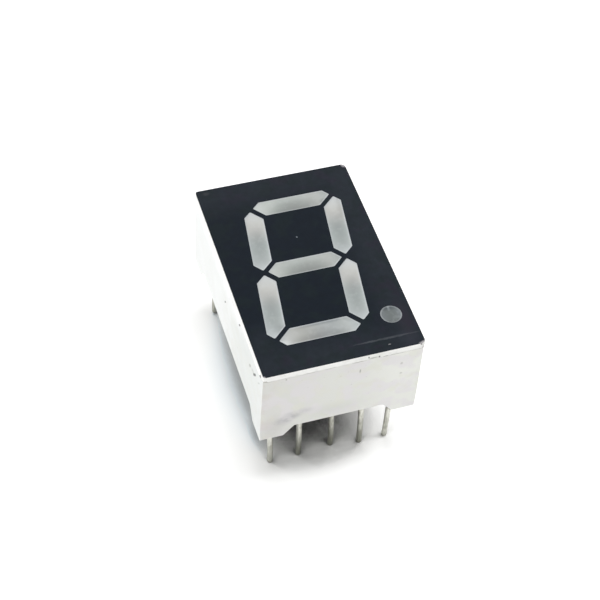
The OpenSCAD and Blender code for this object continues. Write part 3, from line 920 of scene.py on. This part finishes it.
def make_lead(number, material):
    """A dipped wire, straight in its board and leaning a little below the potting."""
    low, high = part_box(f"lead_{number}")
    centre = (low + high) / 2
    radius = (high.x - low.x) / 2
    lean_x, lean_y = (v * MM for v in LEAD_LEAN[number])
    rng = random.Random(number)
    phase = [rng.uniform(0, 2 * math.pi) for _ in range(3)]
    form = bmesh.new()
    rings = []
    for z in lead_heights(low.z, high.z):
        lower_share = min(1, max(0, (LEAN_START - z) / (LEAN_START - low.z)))
        lean = math.sin(lower_share * math.pi / 2) ** 1.2
        if z >= LEAD_STEP:
            r = radius - 0.01 * MM
        else:
            wave = math.sin(z / (0.9 * MM) + phase[0]) + 0.7 * math.sin(z / (0.37 * MM) + phase[1])
            swell = 0.006 * MM * wave if z < 0 else 0
            r = lead_radius(z, radius - 0.02 * MM + swell, low.z)
        ring = []
        for i in range(LEAD_SIDES):
            angle = 2 * math.pi * i / LEAD_SIDES
            oval = r * (1 + 0.012 * math.sin(2 * angle + phase[2]))
            ring.append(form.verts.new((
                centre.x + lean_x * lean + oval * math.cos(angle),
                centre.y + lean_y * lean + oval * math.sin(angle),
                z,
            )))
        rings.append(ring)
    for upper, lower in zip(rings, rings[1:]):
        for i in range(LEAD_SIDES):
            j = (i + 1) % LEAD_SIDES
            form.faces.new((upper[j], upper[i], lower[i], lower[j]))
    form.faces.new(rings[0])
    form.faces.new(rings[-1][::-1])
    bmesh.ops.recalc_face_normals(form, faces=form.faces)
    piece(f"tinned_lead_{number}", form, material, f"lead_{number}")


def refinish(node, material):
    """Gives a CAD node that stays a better material."""
    for slot in NODES[node].material_slots:
        slot.material = material


# ---------------------------------------------------------------- camera, light and floor

# The view that fits the housing's corners and feet in the photograph: angles in degrees, a place the
# camera faces, its distance from there, and how far it stands off to its left and down.
CAMERA_AZIMUTH, CAMERA_ELEVATION, CAMERA_ROLL = -21.458, 50.774, 4.996
CAMERA_AIM = point(0, 0, 4)
CAMERA_DISTANCE = 114.264 * MM
CAMERA_LEFT, CAMERA_DOWN = 0.269 * MM, 0.216 * MM
CAMERA_LENS = 87.047


def add_camera():
    """The photograph's view, from above, in front and a little to the left, turned on its own axis."""
    angles = (CAMERA_AZIMUTH, CAMERA_ELEVATION, CAMERA_ROLL)
    azimuth, elevation, roll = (math.radians(v) for v in angles)
    back = Vector((
        math.sin(azimuth) * math.cos(elevation),
        -math.cos(azimuth) * math.cos(elevation),
        math.sin(elevation),
    ))
    level_right = (-back).cross(Vector((0, 0, 1))).normalized()
    level_up = level_right.cross(-back)
    right = math.cos(roll) * level_right + math.sin(roll) * level_up
    up = math.cos(roll) * level_up - math.sin(roll) * level_right
    place = CAMERA_AIM + back * CAMERA_DISTANCE - right * CAMERA_LEFT - up * CAMERA_DOWN
    data = bpy.data.cameras.new("camera")
    data.lens = CAMERA_LENS
    data.clip_start = 5 * MM
    data.clip_end = 20
    camera = bpy.data.objects.new("camera", data)
    bpy.context.scene.collection.objects.link(camera)
    camera.matrix_world = Matrix.Translation(place) @ Matrix((right, up, back)).transposed().to_4x4()
    bpy.context.scene.camera = camera


def seen_directly(tree):
    """1 for camera, mirror and glass rays, and 0 for the rays that light the object."""
    path = tree.nodes.new("ShaderNodeLightPath")
    found = path.outputs["Is Camera Ray"]
    for name in ("Is Glossy Ray", "Is Transmission Ray"):
        higher = tree.nodes.new("ShaderNodeMath")
        higher.operation = "MAXIMUM"
        tree.links.new(found, higher.inputs[0])
        tree.links.new(path.outputs[name], higher.inputs[1])
        found = higher.outputs[0]
    return found


def add_world(level):
    """White surroundings that light the object at a plain level and show as white."""
    world = bpy.data.worlds.new("studio")
    world.use_nodes = True
    bpy.context.scene.world = world
    tree = world.node_tree
    strength = tree.nodes.new("ShaderNodeMapRange")
    tree.links.new(seen_directly(tree), strength.inputs["Value"])
    strength.inputs["To Min"].default_value = level
    strength.inputs["To Max"].default_value = 1.0
    background = tree.nodes["Background"]
    background.inputs["Color"].default_value = (1, 1, 1, 1)
    tree.links.new(strength.outputs["Result"], background.inputs["Strength"])


# The floor's openness at which its shade is full and at which it ends, and the shade's steps between:
# nearly level in its middle, and rising faster at its edge.
SHADE_FULL, SHADE_END = 0.42, 0.65
SHADE_CURVE = [
    (0.0, 0.0), (0.10, 0.07), (0.20, 0.26), (0.32, 0.40), (0.46, 0.47), (0.60, 0.48), (0.70, 0.56),
    (0.79, 0.84), (0.90, 0.95), (1.0, 1.0),
]
SHADE_DARK, SHADE_LIGHT = 0.03, 1.2
BOUNCE_GREY = 0.8


def grey(level):
    return (level, level, level, 1)


def floor_openness(f, x):
    """How much of the room reaches each place on the floor, with the painted shade then leaning to the
    right of the digit, lighter at its far left and darker beside the front left foot.
    """
    def reach(distance, samples):
        node = f.node("ShaderNodeAmbientOcclusion", samples=samples)
        f.feed(node.inputs["Distance"], distance)
        return node.outputs["AO"]

    # A part of what only the tips of the leads hide is given back.
    tips = f.math("MULTIPLY_ADD", reach(2 * MM, 8), -0.36, 0.36)
    openness = f.add(reach(16 * MM, 64), tips)
    # Painted shade: darker left of the middle and lighter to the right, and lighter at the far left.
    right = f.math("POWER", f.share(x, -3.0 * MM, 5.5 * MM), 1.5)
    openness = f.add(openness, f.spread(right, -0.042, 0.06))
    openness = f.add(openness, f.spread(f.fade(x, -3.8 * MM, -5.6 * MM), 0.0, 0.08))
    # Painted shade: the floor is drawn darker beside the front left foot.
    foot = f.spot(point(-4.9, -5.3, 0), point(1.2, 2.6, 1.0), edge=1.0)
    return f.add(openness, f.spread(foot, 0.0, -0.06))


def floor_finish():
    """Plain white; where little of the room reaches it, the shade is drawn deeper for the eye."""
    f = Finish("white_floor")
    x, y, _ = f.axes(f.place)
    openness = floor_openness(f, x)
    stops = [(at, grey(level)) for at, level in SHADE_CURVE]
    level = f.ramp(f.share(openness, SHADE_FULL, SHADE_END), stops, smooth=True)
    seen = f.blend(level, grey(SHADE_DARK), grey(SHADE_LIGHT))
    # To the left of the object the shade is a little bluer.
    left = f.times(f.fade(x, -3.6 * MM, -5.4 * MM), f.fade(y, -8.0 * MM, -5.0 * MM))
    cool = f.times(f.fade(openness, 0.70, 0.62), left)
    seen = f.blend(cool, seen, (0.94, 1.0, 1.045, 1), "MULTIPLY")
    return f.done(f.blend(seen_directly(f.tree), grey(BOUNCE_GREY), seen), 1.0, specular=0.0)


def add_floor():
    """A wide white floor under the leads, which keeps the object's shadow."""
    form = bmesh.new()
    bmesh.ops.create_grid(form, x_segments=1, y_segments=1, size=3.0)
    mesh = bpy.data.meshes.new("floor")
    form.to_mesh(mesh)
    form.free()
    mesh.materials.append(floor_finish())
    floor = bpy.data.objects.new("floor", mesh)
    floor.location.z = FLOOR_Z
    bpy.context.scene.collection.objects.link(floor)


def add_lamp(name, direction, level, spread):
    """Even, soft light from one side: level 1 shows a facing white surface as white."""
    data = bpy.data.lights.new(name, "SUN")
    data.energy = level * math.pi
    data.angle = math.radians(spread)
    lamp = bpy.data.objects.new(name, data)
    lamp.rotation_euler = Vector(direction).to_track_quat("Z", "Y").to_euler()
    bpy.context.scene.collection.objects.link(lamp)


def make_pieces():
    """The housing, its ink, the eight castings and the ten leads."""
    make_housing()
    make_ink()
    for letter in SEGMENTS:
        make_casting("casting_" + letter, "segment_" + letter, casting_finish(letter))
    make_casting("casting_point", "decimal_point", point_finish())
    tin = lead_finish()
    for number in LEADS:
        make_lead(number, tin)


def finish_kept_nodes():
    """Better materials for the CAD nodes that stay."""
    copper, chip = copper_finish(), die_finish()
    refinish("circuit_board", board_finish())
    refinish("front_tracks", copper)
    refinish("rear_pads", copper)
    refinish("solder_joints", solder_finish())
    refinish("rear_potting", potting_finish())
    refinish("bond_wires", wire_finish())
    for letter in (*SEGMENTS, "dp"):
        refinish("die_" + letter, chip)


add_camera()
add_world(level=0.42)
add_floor()
add_lamp("overhead_light", (0.0, 0.0, 1.0), level=0.25, spread=20)
add_lamp("right_light", (0.47, 0.0, 0.88), level=0.22, spread=20)
add_lamp("left_light", (-0.88, -0.41, 0.26), level=0.46, spread=40)
add_lamp("back_light", (0.0, 0.97, 0.26), level=0.46, spread=40)
make_pieces()
finish_kept_nodes()
bpy.context.scene.view_settings.view_transform = "Standard"
